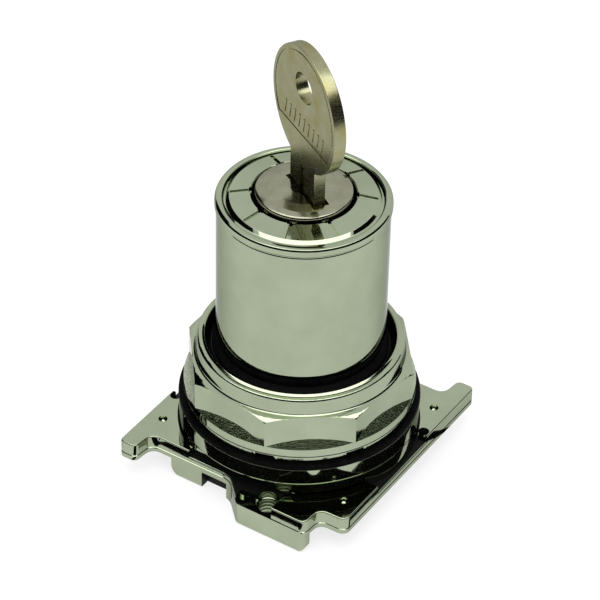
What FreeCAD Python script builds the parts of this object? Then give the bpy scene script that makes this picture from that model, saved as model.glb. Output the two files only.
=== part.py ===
# Key-operated three-position selector switch operator for a 30.5 mm panel hole.
# Frame: +Z is the barrel axis and points out of the panel towards the key, z = 0 is the
# underside of the casting's deep skirts, +Y is twelve o'clock on the dial, units are mm.
# Each physical piece is one node and is written to parts/NODE.step.

import FreeCAD, Part
import math
import os

V = FreeCAD.Vector

# ---------------------------------------------------------------- driving dimensions

# heights of the main faces along the barrel axis
plate_under_z = 3.3
deck_top_z = 5.4
pad_top_z = 6.8
boss_waist_z = 8.6
boss_top_z = 11.9
gasket_top_z = 12.8
flange_top_z = 15.6
nut_corner_z = 20.8
nut_shoulder_z = 22.0
nut_top_z = 24.5
barrel_bottom_z = 25.9
barrel_rim_z = 53.0
neck_top_z = 50.3
ring_outer_z = 53.0
ring_inner_z = 53.8
plug_face_z = 54.0
cap_edge_z = 54.6
cap_crown_z = 55.3

# base casting
plate_half_x = 21.3
plate_half_y = 18.7
lug_half_y = 22.8
skirt_wall = 1.8
window_x = (-7.1, -2.9)
window_top_z = 2.9
waist_half_y = 17.5
boss_r = 20.5
boss_top_r = 20.3
cavity_r = 16.2
cavity_roof_z = 10.2
thread_r = 15.1
thread_root_r = 14.55
thread_pitch = 1.5
thread_top_z = 22.9
bushing_bore_r = 11.0
bushing_bore_top_z = 26.0
neck_r = 13.2
neck_bore_r = 9.0
tapped_hole_xy = (7.0, -20.0)
tapped_hole_r = 1.75
tapped_land_z = 4.3
dimple_xy = (18.34, 14.36)
dimple_r = 0.7
pocket_xy = (20.1, 8.1)

# retaining nut
nut_flats = 36.9
nut_corner_angle = -29.0
nut_flange_r = 19.7
nut_neck_r = 18.0
nut_mouth_r = 16.0
nut_mouth_z = 20.6
nut_notch_width = 3.2
nut_notch_depth = 1.0

# barrel and dial
barrel_r = 14.3
barrel_bead_r = 14.55
barrel_bore_r = 13.25
ring_r = 13.1
ring_bore_r = 8.58
mark_angles = (30, 70, 110, 150, 210, 250, 290, 330)
mark_width = 0.7
mark_depth = 0.35
cap_r = 8.06
cap_bore_r = 7.1

# lock and key, in the key's own axes: u across the blade, v through its thickness
key_angle = 330.0
key_thickness = 2.1
blade_width = 8.5
blade_centre_u = 1.1
blade_tip_z = 33.0
bow_centre_z = 71.0
bow_r = 10.8
bow_hole_z = 75.0
keyway_play = 0.12
entry_half_u = 4.95
entry_half_v = 1.45
plug_r = 6.2
plug_head_r = 7.0
plug_bottom_z = 28.0
housing_r = 8.95
housing_bottom_z = 27.0
housing_top_z = 50.2
wafer_count = 5
wafer_first_z = 36.0
wafer_pitch = 2.6
wafer_thickness = 0.9
wafer_half_v = 2.25

# shaft, index mechanism and cam
shaft_r = 4.0
shaft_square = 5.2
shaft_bottom_z = 5.4
running_gap = 0.05
index_wheel_r = 6.3
index_wheel_z = (13.0, 17.0)
index_cage_z = (12.0, 18.0)
ball_r = 1.5
bush_z = (19.0, 25.0)
cam_r = 9.8
cam_disc_z = (8.7, 9.8)
cam_hub_z = 7.0
cam_hub_r = 5.0
ramp_r = (5.3, 9.7)
ramp_high_z = 8.25
cam_lift = 2.4
key_throw = 120.0
pusher_x = 7.5
pusher_head_z = 5.6
retainer_z = (3.4, 4.2)
retainer_r = 16.0
post_y = 13.3
post_r = 2.4

# ---------------------------------------------------------------- shape helpers


def cylinder(radius, z0, z1, x=0.0, y=0.0):
    """Upright cylinder between two heights."""
    return Part.makeCylinder(radius, z1 - z0, V(x, y, z0))


def tube(outer, inner, z0, z1):
    """Upright ring with a square section."""
    return cylinder(outer, z0, z1).cut(cylinder(inner, z0 - 1, z1 + 1))


def block(x0, x1, y0, y1, z0, z1):
    """Box given by its two corners."""
    return Part.makeBox(x1 - x0, y1 - y0, z1 - z0, V(x0, y0, z0))


def turned(profile):
    """Solid of revolution about Z from (radius, height) points."""
    points = [V(r, 0, z) for r, z in profile]
    face = Part.Face(Part.makePolygon(points + points[:1]))
    return face.revolve(V(0, 0, 0), V(0, 0, 1), 360)


def spun(shape, degrees):
    """Copy of a shape turned about the barrel axis."""
    copy = shape.copy()
    copy.rotate(V(0, 0, 0), V(0, 0, 1), degrees)
    return copy


def rounded_wire(corners):
    """Closed wire in XY from (x, y, corner radius) entries."""
    edges = []
    joins = []
    count = len(corners)
    for i, (x, y, radius) in enumerate(corners):
        here = V(x, y, 0)
        before = V(*corners[i - 1][:2], 0) - here
        after = V(*corners[(i + 1) % count][:2], 0) - here
        before.normalize()
        after.normalize()
        half = math.acos(max(-1.0, min(1.0, before.dot(after)))) / 2
        reach = radius / math.tan(half)
        middle = before + after
        middle.normalize()
        inner = here + middle * (radius / math.sin(half))
        joins.append((here + before * reach, inner - middle * radius, here + after * reach))
    for i, (start, crown, end) in enumerate(joins):
        if (end - start).Length > 1e-6:
            edges.append(Part.Arc(start, crown, end).toShape())
        edges.append(Part.LineSegment(end, joins[(i + 1) % count][0]).toShape())
    return Part.Wire(edges)


def prism(corners, z0, z1):
    """Upright solid over a rounded outline."""
    face = Part.Face(rounded_wire(corners))
    face.translate(V(0, 0, z0))
    return face.extrude(V(0, 0, z1 - z0))


def side_prism(corners, y0, y1):
    """Solid over a rounded outline drawn in XZ, running along Y."""
    face = Part.Face(rounded_wire(corners))
    face.rotate(V(0, 0, 0), V(1, 0, 0), 90)
    face.translate(V(0, y1, 0))
    return face.extrude(V(0, y0 - y1, 0))


def fused(shapes):
    """One solid from several that overlap or touch."""
    result = shapes[0]
    if len(shapes) > 1:
        result = result.fuse(shapes[1:])
    return result.removeSplitter()


def thread_profile(crest, root, z0, z1, inner):
    """Revolved outline of a ring-grooved thread with a wall reaching the radius inner."""
    turns = int((z1 - z0) / thread_pitch)
    profile = [(inner, z0), (crest, z0)]
    for i in range(turns):
        z = z0 + i * thread_pitch
        profile.append((crest, z + 0.25 * thread_pitch))
        profile.append((root, z + 0.5 * thread_pitch))
        profile.append((root, z + 0.75 * thread_pitch))
        profile.append((crest, z + thread_pitch))
    profile.append((crest, z1))
    profile.append((inner, z1))
    return profile


def helix_spring(radius, wire_r, pitch, height):
    """Closed coil of round wire standing on z = 0."""
    path = Part.makeHelix(pitch, height, radius)
    section = Part.Wire(Part.makeCircle(wire_r, V(radius, 0, 0), V(0, 1, 0)))
    return Part.Wire(path).makePipeShell([section], True, True)


# ---------------------------------------------------------------- base casting


def plate_outline():
    """Outline of the base plate, the same after half a turn."""
    half = [
        (-plate_half_x, -lug_half_y - 0.2, 0.9),
        (-18.0, -lug_half_y - 0.2, 1.1),
        (-17.6, -plate_half_y, 1.7),
        (-1.6, -plate_half_y, 3.6),
        (2.5, -lug_half_y, 1.2),
        (16.0, -lug_half_y, 1.3),
        (16.3, -plate_half_y + 0.2, 1.5),
        (plate_half_x, -plate_half_y + 0.3, 1.5),
    ]
    return half + [(-x, -y, radius) for x, y, radius in half]


def deep_skirt():
    """Deep wall along one long side: over the blind window and round the tapped lug."""
    strip = prism([
        (-13.6, -plate_half_y, 0.01),
        (-1.6, -plate_half_y, 3.6),
        (2.5, -lug_half_y, 1.2),
        (16.0, -lug_half_y, 1.2),
        (16.0, -lug_half_y + skirt_wall, 0.01),
        (3.25, -lug_half_y + skirt_wall, 0.5),
        (-0.85, -plate_half_y + skirt_wall, 2.0),
        (-13.6, -plate_half_y + skirt_wall, 0.01),
    ], 0, plate_under_z)
    sides = side_prism([
        (-13.6, 0, 1.3), (16.0, 0, 1.4),
        (16.0, plate_under_z + 1, 0.01), (-13.6, plate_under_z + 1, 0.01),
    ], -lug_half_y - 1, -10)
    inner_y = -plate_half_y + skirt_wall
    window = block(*window_x, -plate_half_y - 1, inner_y, -1, window_top_z)
    backing = block(window_x[0] - 1.5, window_x[1] + 1.5, inner_y, inner_y + 1, 0, plate_under_z)
    x, y = tapped_hole_xy
    seat = cylinder(2.9, 0, plate_under_z, x, y)
    seat = seat.common(block(0, 16, -lug_half_y, 0, 0, plate_under_z))
    return strip.common(sides).cut(window).fuse([seat, backing])


def pads():
    """Raised pads at the four corners of the plate."""
    slab = prism(plate_outline(), deck_top_z, pad_top_z)
    result = []
    for x0, x1, y0, y1 in ((-25, -10.0, -25, -7.3), (9.5, 25, -25, -8.3)):
        corner = slab.common(block(x0, x1, y0, y1, deck_top_z, pad_top_z))
        result.append(corner)
        result.append(spun(corner, 180))
    return result


def base_casting():
    """Die-cast base: plate, skirts, round boss, threaded bushing and neck in one piece."""
    plate = prism(plate_outline(), plate_under_z, deck_top_z)
    waist = cylinder(boss_r, deck_top_z - 0.5, boss_waist_z)
    waist = waist.common(block(-boss_r, boss_r, -waist_half_y, waist_half_y, 0, boss_waist_z))
    boss = turned([(0, boss_waist_z), (boss_r, boss_waist_z), (boss_r, boss_top_z - 0.5),
                   (boss_top_r, boss_top_z), (0, boss_top_z)])
    bushing = turned(thread_profile(thread_r, thread_root_r, boss_top_z, thread_top_z, 0))
    neck = cylinder(neck_r, thread_top_z, neck_top_z)
    skirts = [deep_skirt(), spun(deep_skirt(), 180)]
    body = fused([plate, waist, boss, bushing, neck] + skirts + pads())

    hollow = [
        cylinder(cavity_r, -1, cavity_roof_z),
        cylinder(bushing_bore_r, 0, bushing_bore_top_z),
        cylinder(neck_bore_r, bushing_bore_top_z - 1, neck_top_z + 1),
        side_hole(1.5, 40.0, neck_r + 1),
    ]
    for turn in (0, 180):
        x, y = tapped_hole_xy
        lug_land = block(2.0, 9.5, -lug_half_y - 1, -plate_half_y + 0.9, tapped_land_z, 10)
        pocket = cylinder(0.95, 3.9, 10, *pocket_xy)
        hollow.append(spun(lug_land.cut(cylinder(boss_r, 0, 12)), turn))
        hollow.append(spun(pocket, turn))
        hollow.append(spun(tapped_bore(x, y), turn))
    for sx in (-1, 1):
        for sy in (-1, 1):
            x, y = dimple_xy
            hollow.append(cylinder(dimple_r, pad_top_z - 1.6, pad_top_z + 1, sx * x, sy * y))
    body = body.cut(hollow)

    posts = []
    for sign in (-1, 1):
        post = cylinder(post_r, retainer_z[1], cavity_roof_z + 0.5, 0, sign * post_y)
        posts.append(post.cut(cylinder(1.02, 0, cavity_roof_z - 0.6, 0, sign * post_y)))
    return fused([body] + posts)


def tapped_bore(x, y):
    """Ring-grooved bore that stands for the contact block's screw thread."""
    shapes = [cylinder(tapped_hole_r, -1, 8, x, y)]
    for i in range(5):
        z = 0.4 + 0.8 * i
        groove = turned([(0, z), (tapped_hole_r, z), (tapped_hole_r + 0.28, z + 0.3),
                         (tapped_hole_r + 0.28, z + 0.4), (tapped_hole_r, z + 0.6), (0, z + 0.6)])
        groove.translate(V(x, y, 0))
        shapes.append(groove)
    return fused(shapes)


def side_hole(radius, z, reach):
    """Radial hole through the neck wall on the +Y side."""
    return Part.makeCylinder(radius, reach, V(0, 0, z), V(0, 1, 0))


# ---------------------------------------------------------------- panel hardware


def panel_gasket():
    """Flat rubber washer between the panel and the casting's boss."""
    return turned([(thread_r + 0.1, boss_top_z), (boss_top_r, boss_top_z),
                   (boss_top_r + 0.15, boss_top_z + 0.3), (boss_top_r + 0.15, gasket_top_z - 0.3),
                   (boss_top_r, gasket_top_z), (thread_r + 0.1, gasket_top_z)])


def retaining_nut():
    """Eight-sided cast nut: notched round flange, chamfered flats and rolled mouth."""
    corner_r = nut_flats / 2 / math.cos(math.pi / 8)
    corners = []
    for i in range(8):
        angle = math.radians(nut_corner_angle + 45 * i)
        corners.append((corner_r * math.cos(angle), corner_r * math.sin(angle), 0.3))
    flats = prism(corners, gasket_top_z, nut_top_z)
    envelope = turned([
        (0, gasket_top_z), (nut_flange_r, gasket_top_z), (nut_flange_r, nut_corner_z),
        (nut_neck_r + 0.15, nut_shoulder_z), (nut_neck_r, nut_shoulder_z + 0.5),
        (nut_neck_r, nut_top_z - 0.9), (nut_neck_r - 0.3, nut_top_z - 0.3),
        (nut_neck_r - 0.9, nut_top_z), (0, nut_top_z),
    ])
    flange = turned([(0, gasket_top_z), (nut_flange_r - 0.2, gasket_top_z),
                     (nut_flange_r, gasket_top_z + 0.3), (nut_flange_r, flange_top_z - 0.4),
                     (nut_flange_r - 0.4, flange_top_z), (0, flange_top_z)])
    outside = fused([flats.common(envelope), flange])
    gap = running_gap
    bore = turned(thread_profile(thread_r + gap, thread_root_r + gap,
                                 boss_top_z, thread_top_z, 0))
    mouth = turned([(0, nut_mouth_z), (nut_mouth_r - 0.6, nut_mouth_z),
                    (nut_mouth_r, nut_mouth_z + 0.6), (nut_mouth_r, nut_top_z - 0.7),
                    (nut_mouth_r + 0.5, nut_top_z + 1), (0, nut_top_z + 1)])
    notches = []
    for i in range(8):
        notch = block(nut_flange_r - 1.6, nut_flange_r + 1, -nut_notch_width / 2,
                      nut_notch_width / 2, gasket_top_z - 1, gasket_top_z + nut_notch_depth)
        notches.append(spun(notch, nut_corner_angle + 45 * i))
    return outside.cut([bore, mouth] + notches)


def neck_seal():
    """Rubber lip ring round the neck, under the barrel's lower edge."""
    return turned([(neck_r + 0.03, thread_top_z), (14.2, thread_top_z), (14.2, thread_top_z + 0.8),
                   (13.7, thread_top_z + 1.3), (14.1, barrel_bottom_z - 1.0),
                   (14.1, barrel_bottom_z - 0.05), (neck_r + 0.03, barrel_bottom_z - 0.05)])


# ---------------------------------------------------------------- barrel and dial


def barrel_shell():
    """Drawn barrel that covers the neck, with a rolled bead at its top."""
    return turned([
        (barrel_bore_r, barrel_bottom_z), (barrel_r - 0.5, barrel_bottom_z),
        (barrel_r - 0.1, barrel_bottom_z + 0.2), (barrel_r, barrel_bottom_z + 0.7),
        (barrel_r, barrel_rim_z - 1.9), (barrel_bead_r, barrel_rim_z - 1.6),
        (barrel_bead_r, barrel_rim_z - 0.7), (barrel_bead_r - 0.3, barrel_rim_z - 0.2),
        (barrel_bead_r - 0.8, barrel_rim_z), (barrel_bore_r + 0.15, barrel_rim_z),
        (barrel_bore_r + 0.15, barrel_rim_z - 1.2), (barrel_bore_r, barrel_rim_z - 1.3),
    ])


def index_ring():
    """Dial ring with eight engraved position marks on a slightly conical face."""
    ring = turned([
        (ring_bore_r, neck_top_z), (ring_r, neck_top_z), (ring_r, ring_outer_z - 0.5),
        (ring_r - 0.45, ring_outer_z - 0.15), (ring_r - 0.6, ring_outer_z + 0.05),
        (ring_bore_r + 0.25, ring_inner_z), (ring_bore_r, ring_inner_z - 0.2),
    ])
    marks = []
    slope = (ring_inner_z - ring_outer_z) / (ring_r - ring_bore_r)
    for angle in mark_angles:
        line = block(ring_bore_r - 1, ring_r - 1.0, -mark_width / 2, mark_width / 2,
                     ring_inner_z - mark_depth, ring_inner_z + 2)
        line.rotate(V(ring_bore_r, 0, ring_inner_z), V(0, 1, 0), math.degrees(math.atan(slope)))
        nick = block(ring_bore_r - 1, ring_bore_r + 0.4, -0.8, 0.8, ring_inner_z - 1.0,
                     ring_inner_z + 1)
        marks.append(spun(line, angle))
        marks.append(spun(nick, angle))
    return ring.cut(marks)


def face_seal():
    """Rubber wiper ring under the lock's face cap."""
    return tube(ring_bore_r - 0.08, plug_head_r + 0.2, neck_top_z + 0.05, 51.1)


# ---------------------------------------------------------------- lock


def keyway(z0, z1):
    """Slot for the key blade, with play all round, in the key's own axes."""
    half_u = blade_width / 2 + keyway_play
    half_v = key_thickness / 2 + keyway_play
    return block(blade_centre_u - half_u, blade_centre_u + half_u, -half_v, half_v, z0, z1)


def wafer_heights():
    """Mid-height of each wafer."""
    return [wafer_first_z + i * wafer_pitch for i in range(wafer_count)]


def lock_housing():
    """Fixed brass shell that the plug turns in."""
    shell = tube(housing_r, plug_r + running_gap, housing_bottom_z, housing_top_z)
    dimple = Part.makeCylinder(1.0, 3.0, V(0, housing_r - 1.0, 40.0), V(0, 1, 0))
    return shell.cut(dimple)


def lock_plug():
    """Turning brass plug with the keyway, wafer slots and a slot for the shaft's tongue."""
    plug = fused([cylinder(plug_r, plug_bottom_z, neck_top_z + 0.2),
                  cylinder(plug_head_r, neck_top_z + 0.1, plug_face_z)])
    cuts = [keyway(blade_tip_z - 1.0, plug_face_z + 1),
            block(-plug_r, plug_r, -1.05, 1.05, plug_bottom_z - 1, plug_bottom_z + 2.6)]
    for z in wafer_heights():
        half = wafer_thickness / 2 + 0.05
        cuts.append(block(-plug_r - 1, plug_r + 1, -wafer_half_v - 0.05, wafer_half_v + 0.05,
                          z - half, z + half))
    return spun(plug.cut(cuts), key_angle)


def tumbler_wafers():
    """Spring-brass wafers, drawn with the right key in, so each is flush with the plug."""
    wafers = []
    for z in wafer_heights():
        half = wafer_thickness / 2
        wafer = cylinder(plug_r - 0.05, z - half, z + half)
        wafer = wafer.common(block(-10, 10, -wafer_half_v, wafer_half_v, z - half, z + half))
        wafer = wafer.cut(keyway(z - 2, z + 2))
        wafers.append(spun(wafer, key_angle))
    return Part.makeCompound(wafers)


def face_cap():
    """Domed cap over the plug's face, with the key entry and a small pointer notch."""
    dome = turned([(0, plug_face_z), (cap_bore_r, plug_face_z), (cap_bore_r, 51.4), (cap_r, 51.4),
                   (cap_r, cap_edge_z - 0.5), (cap_r - 0.15, cap_edge_z - 0.15),
                   (cap_r - 0.5, cap_edge_z), (5.0, cap_edge_z + 0.45), (0, cap_crown_z)])
    entry = block(blade_centre_u - entry_half_u, blade_centre_u + entry_half_u,
                  -entry_half_v, entry_half_v, 50, 60)
    pointer = block(-0.5, 0.5, cap_r - 0.8, cap_r + 1, cap_edge_z - 0.7, cap_crown_z)
    return spun(dome.cut([entry, pointer]), key_angle)


def lock_set_screw():
    """Headless screw that holds the lock housing in the neck."""
    screw = Part.makeCylinder(1.45, 4.0, V(0, housing_r + 0.1, 40.0), V(0, 1, 0))
    tip = Part.makeCylinder(0.9, 1.0, V(0, housing_r - 0.85, 40.0), V(0, 1, 0))
    slot = block(-0.25, 0.25, housing_r + 3.3, housing_r + 5, 38, 42)
    return screw.fuse(tip).cut(slot).removeSplitter()


def key():
    """Flat double-sided key: round bow with an oblong hole, and a notched blade."""
    half = blade_width / 2
    left = blade_centre_u - half
    right = blade_centre_u + half
    bow = Part.makeCylinder(bow_r, key_thickness, V(0, 0, 0), V(0, 1, 0))
    bow.translate(V(blade_centre_u, -key_thickness / 2, bow_centre_z))
    blade = side_prism([
        (left, bow_centre_z - 9.0, 0.01), (left, blade_tip_z + 1.6, 0.4),
        (blade_centre_u - 1.2, blade_tip_z, 0.5), (blade_centre_u + 1.2, blade_tip_z, 0.5),
        (right, blade_tip_z + 1.6, 0.4), (right, bow_centre_z - 9.0, 0.01),
    ], -key_thickness / 2, key_thickness / 2)
    body = fused([bow, blade])
    cuts = []
    for i in range(wafer_count):
        z = wafer_first_z + i * wafer_pitch
        depth = 0.5 + 0.25 * ((i * 2) % 3)
        for edge, inward in ((left, 1), (right, -1)):
            notch = side_prism([
                (edge - inward * 0.5, z - 1.1, 0.01), (edge + inward * depth, z - 0.4, 0.01),
                (edge + inward * depth, z + 0.4, 0.01), (edge - inward * 0.5, z + 1.1, 0.01),
            ], -key_thickness, key_thickness)
            cuts.append(notch)
    ring_hole = side_prism([
        (blade_centre_u - 2.9, bow_hole_z - 2.5, 2.4), (blade_centre_u + 2.9, bow_hole_z - 2.5, 2.4),
        (blade_centre_u + 2.9, bow_hole_z + 2.5, 2.4), (blade_centre_u - 2.9, bow_hole_z + 2.5, 2.4),
    ], -key_thickness, key_thickness)
    cuts.append(ring_hole)
    return spun(body.cut(cuts), key_angle)


# ---------------------------------------------------------------- shaft, index and cam


def drive_shaft():
    """Steel shaft from the plug to the cam: tongue, round journal and square end."""
    half = shaft_square / 2
    shaft = fused([cylinder(shaft_r, 10.4, plug_bottom_z),
                   block(-half, half, -half, half, shaft_bottom_z, 10.5),
                   block(-3.6, 3.6, -1.0, 1.0, plug_bottom_z - 0.5, plug_bottom_z + 2.4)])
    groove = tube(6.0, 2.3, 6.1, 6.9)
    return spun(shaft.cut(groove), key_angle)


def index_wheel():
    """Six-notch wheel that sets the key's stopping places."""
    wheel = cylinder(index_wheel_r, *index_wheel_z)
    notches = []
    for i in range(6):
        notch = cylinder(ball_r, index_wheel_z[0] - 1, index_wheel_z[1] + 1,
                         index_wheel_r + 0.95, 0)
        notches.append(spun(notch, 60 * i))
    return wheel.cut(notches).cut(cylinder(shaft_r, *index_cage_z))


def index_cage():
    """Moulded ring that guides the index balls and their springs."""
    cage = tube(bushing_bore_r - 0.08, index_wheel_r + 0.3, *index_cage_z)
    middle = sum(index_wheel_z) / 2
    bore = Part.makeCylinder(ball_r + 0.1, 24, V(-12, 0, middle), V(1, 0, 0))
    return cage.cut(bore)


def index_balls():
    """Steel balls, drawn riding at the height of the wheel's lobes."""
    middle = sum(index_wheel_z) / 2
    reach = index_wheel_r + ball_r + 0.06
    balls = [Part.makeSphere(ball_r, V(sign * reach, 0, middle)) for sign in (-1, 1)]
    return Part.makeCompound(balls)


def index_springs():
    """Small coils that push the index balls inwards."""
    middle = sum(index_wheel_z) / 2
    start = index_wheel_r + 2 * ball_r + 0.3
    springs = []
    for turn in (0, 180):
        coil = helix_spring(0.9, 0.12, 0.35, bushing_bore_r - start - 0.3)
        coil.rotate(V(0, 0, 0), V(0, 1, 0), 90)
        coil.translate(V(start, 0, middle))
        springs.append(spun(coil, turn))
    return Part.makeCompound(springs)


def shaft_bush():
    """Bearing bush for the shaft, with a seat for its O-ring."""
    bush = tube(bushing_bore_r - 0.05, shaft_r + running_gap, *bush_z)
    return bush.cut(cylinder(6.1, bush_z[1] - 1.9, bush_z[1] + 1))


def shaft_o_ring():
    """Rubber O-ring round the shaft."""
    return Part.makeTorus(shaft_r + 1.0, 0.9, V(0, 0, bush_z[1] - 0.95))


def ramp(first_angle, last_angle, first_z, last_z):
    """Helical ramp that hangs under the cam disc, in facets of a few degrees."""
    steps = int(abs(last_angle - first_angle) / 4)
    top = cam_disc_z[0] + 0.2
    faces = []
    rows = []
    for i in range(steps + 1):
        share = i / steps
        angle = math.radians(first_angle + share * (last_angle - first_angle))
        low = first_z + share * (last_z - first_z)
        row = []
        for radius, z in ((ramp_r[0], low), (ramp_r[1], low), (ramp_r[1], top), (ramp_r[0], top)):
            row.append(V(radius * math.cos(angle), radius * math.sin(angle), z))
        rows.append(row)
    for here, there in zip(rows, rows[1:]):
        for i in range(4):
            j = (i + 1) % 4
            for trio in ((here[i], here[j], there[j]), (here[i], there[j], there[i])):
                faces.append(Part.Face(Part.makePolygon(list(trio) + [trio[0]])))
    for row in (rows[0], rows[-1]):
        faces.append(Part.Face(Part.makePolygon(row + [row[0]])))
    solid = Part.makeSolid(Part.makeShell(faces))
    if solid.Volume < 0:
        solid.reverse()
    return solid


def operating_cam():
    """Face cam: two ramps of opposite slope, one over each pusher."""
    disc = cylinder(cam_r, *cam_disc_z)
    hub = cylinder(cam_hub_r, cam_hub_z, cam_disc_z[1])
    margin = 14.0
    slope = cam_lift / key_throw
    extra = slope * margin
    low = ramp_high_z - cam_lift
    falling = ramp(-margin, key_throw + margin, ramp_high_z + extra, low - extra)
    rising = ramp(180 - margin, 180 + key_throw + margin, low - extra, ramp_high_z + extra)
    half = shaft_square / 2
    hole = block(-half, half, -half, half, 0, 12)
    return fused([disc, hub, falling, rising]).cut(spun(hole, key_angle))


def cam_clip():
    """Open retaining ring that keeps the cam on the shaft."""
    ring = tube(4.6, 2.35, 6.15, 6.85)
    opening = block(0, 6, -1.2, 1.2, 5, 8)
    return spun(ring.cut(opening), key_angle)


def pusher(side):
    """Sliding pusher that would press a contact block; side is -1 or 1."""
    lower = 0.0 if side < 0 else cam_lift
    x = side * pusher_x
    half = 1.6
    stem = block(x - half, x + half, -half, half, 0.3 + lower, 4.4 + lower)
    flange = block(x - 1.9, x + 1.9, -2.6, 2.6, 4.3 + lower, 5.0 + lower)
    head = cylinder(1.3, 4.9 + lower, pusher_head_z + lower, x, 0)
    return fused([stem, flange, head])


def cam_retainer():
    """Pressed steel plate that closes the cam's cavity and guides the pushers."""
    plate = cylinder(retainer_r, *retainer_z)
    cuts = []
    for side in (-1, 1):
        x = side * pusher_x
        cuts.append(block(x - 1.75, x + 1.75, -1.75, 1.75, 0, 6))
        cuts.append(cylinder(1.3, 0, 6, 0, side * post_y))
    return plate.cut(cuts)


def retainer_screws():
    """Two pan-head screws for the cam retainer."""
    screws = []
    for side in (-1, 1):
        head = turned([(0, retainer_z[0] - 1.3), (1.6, retainer_z[0] - 1.3),
                       (2.1, retainer_z[0] - 0.9), (2.1, retainer_z[0]), (0, retainer_z[0])])
        shank = cylinder(1.0, retainer_z[0] - 0.2, 9.2)
        cross = block(-1.3, 1.3, -0.25, 0.25, 0, retainer_z[0] - 0.7)
        cross = cross.fuse(spun(cross, 90))
        screw = fused([head, shank]).cut(cross)
        screw.translate(V(0, side * post_y, 0))
        screws.append(screw)
    return Part.makeCompound(screws)


# ---------------------------------------------------------------- write the nodes


def main():
    """Build every node and write its STEP file."""
    nodes = {
        "base_casting": base_casting(),
        "panel_gasket": panel_gasket(),
        "retaining_nut": retaining_nut(),
        "neck_seal": neck_seal(),
        "barrel_shell": barrel_shell(),
        "index_ring": index_ring(),
        "face_seal": face_seal(),
        "lock_housing": lock_housing(),
        "lock_set_screw": lock_set_screw(),
        "index_cage": index_cage(),
        "index_balls": index_balls(),
        "index_springs": index_springs(),
        "shaft_bush": shaft_bush(),
        "shaft_o_ring": shaft_o_ring(),
        "cam_retainer": cam_retainer(),
        "retainer_screws": retainer_screws(),
        "lock_plug": lock_plug(),
        "face_cap": face_cap(),
        "tumbler_wafers": tumbler_wafers(),
        "drive_shaft": drive_shaft(),
        "index_wheel": index_wheel(),
        "operating_cam": operating_cam(),
        "cam_clip": cam_clip(),
        "key": key(),
        "pusher_left": pusher(-1),
        "pusher_right": pusher(1),
    }
    os.makedirs("parts", exist_ok=True)
    for name, shape in nodes.items():
        shape.exportStep("parts/" + name + ".step")
        print(name, len(shape.Solids), round(shape.Volume, 1), shape.isValid())


main()
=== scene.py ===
import math
import bmesh
import bpy
from mathutils import Matrix, Vector


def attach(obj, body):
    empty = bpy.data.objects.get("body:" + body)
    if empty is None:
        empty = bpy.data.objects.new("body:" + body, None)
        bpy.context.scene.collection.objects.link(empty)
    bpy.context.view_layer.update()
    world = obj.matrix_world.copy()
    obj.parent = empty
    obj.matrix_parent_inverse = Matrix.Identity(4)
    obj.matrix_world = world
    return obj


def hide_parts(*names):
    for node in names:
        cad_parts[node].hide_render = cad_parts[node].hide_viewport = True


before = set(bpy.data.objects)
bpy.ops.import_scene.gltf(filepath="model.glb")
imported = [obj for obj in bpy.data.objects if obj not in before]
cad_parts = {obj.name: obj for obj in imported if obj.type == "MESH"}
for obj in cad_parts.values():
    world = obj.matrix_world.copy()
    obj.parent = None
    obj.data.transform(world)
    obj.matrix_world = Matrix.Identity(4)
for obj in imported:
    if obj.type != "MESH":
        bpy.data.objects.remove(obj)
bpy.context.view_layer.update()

# ------------------------------------------------------------------ sizes, in millimetres

MM = 0.001
TURN_STEPS = 192
WIDE_STEPS = 144
CORNER_STEPS = 5
MERGE = 0.01

# how high and how far the cutters reach, past the plate and past the key's bow
CLEAR = 12.0
FAR = 25.0
REACH = 20.0

# base casting: heights from the foot up, then the holes and dots of the plate
PLATE_X = 21.3
PLATE_Y = 18.7
LUG_Y = 22.8
PLATE_UNDER = 3.3
SEAM = 4.3
DECK = 5.4
PAD = 6.8
PAD_CORNERS = ((-FAR, -10.0, -7.3), (9.5, FAR, -8.3))
WAIST = 8.6
WAIST_Y = 17.5
BOSS_R = 20.5
BOSS_TOP = 11.9
MOAT = 0.28
SKIRT_WALL = 1.8
SKIRT_END = -13.6
LUG_TURN = -1.6
LUG_START = 2.5
LUG_END = 16.0
WINDOW = (-7.3, -2.2)
CAVITY_R = 16.2
CAVITY_TOP = 10.2
WHEEL_BORE = 11.0
WHEEL_TOP = 26.0
STEM_BORE = 9.0
TAPPED = (7.0, -20.0)
TAPPED_R = 2.0
POCKET = (20.1, 8.1)
POCKET_R = 0.95
DIMPLE = (18.34, 14.36)
DIMPLE_R = 0.8

# gasket, nut and the thread that carries them
GASKET_TOP = 12.8
FLANGE_R = 19.7
FLANGE_TOP = 15.6
NUT_TOP = 24.7
NUT_FLATS = 36.6
NUT_TURN = -29.0
NUT_LIP_R = 16.2
NUT_NECK_R = 17.5
NUT_FOOT_R = 17.68
NUT_CORNER_R = 19.95
NUT_CORNER_TOP = 20.5
NUT_BORE = 15.15
THREAD_R = 15.1
THREAD_ROOT = 14.55
THREAD_TOP = 22.9

# neck, barrel, dial ring and cap
NECK_R = 13.2
NECK_TOP = 50.3
BARREL_R = 14.3
BARREL_BOTTOM = 25.9
BEAD_R = 14.55
RIM = 53.0
RING_R = 13.1
RING_BORE = 8.58
RING_INNER = 53.8
MARKS = (30, 70, 110, 150, 210, 250, 290, 330)
CAP_R = 8.06
CAP_EDGE = 54.6
CAP_CROWN = 55.3

# key: U runs across the blade
KEY_TURN = 330.0
KEY_THICK = 2.1
BLADE_U = 1.1
BLADE_W = 8.5
BLADE_TIP = 33.0
BOW_Z = 71.0
BOW_R = 10.8
HOLE_Z = 75.0
HOLE_HALF = (2.9, 2.5)
RIM_LINE = (0.75, 1.0)
RIM_LOW = 65.6
BAND = (65.8, 70.0)
RIBS = (66.6, 69.2)

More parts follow.
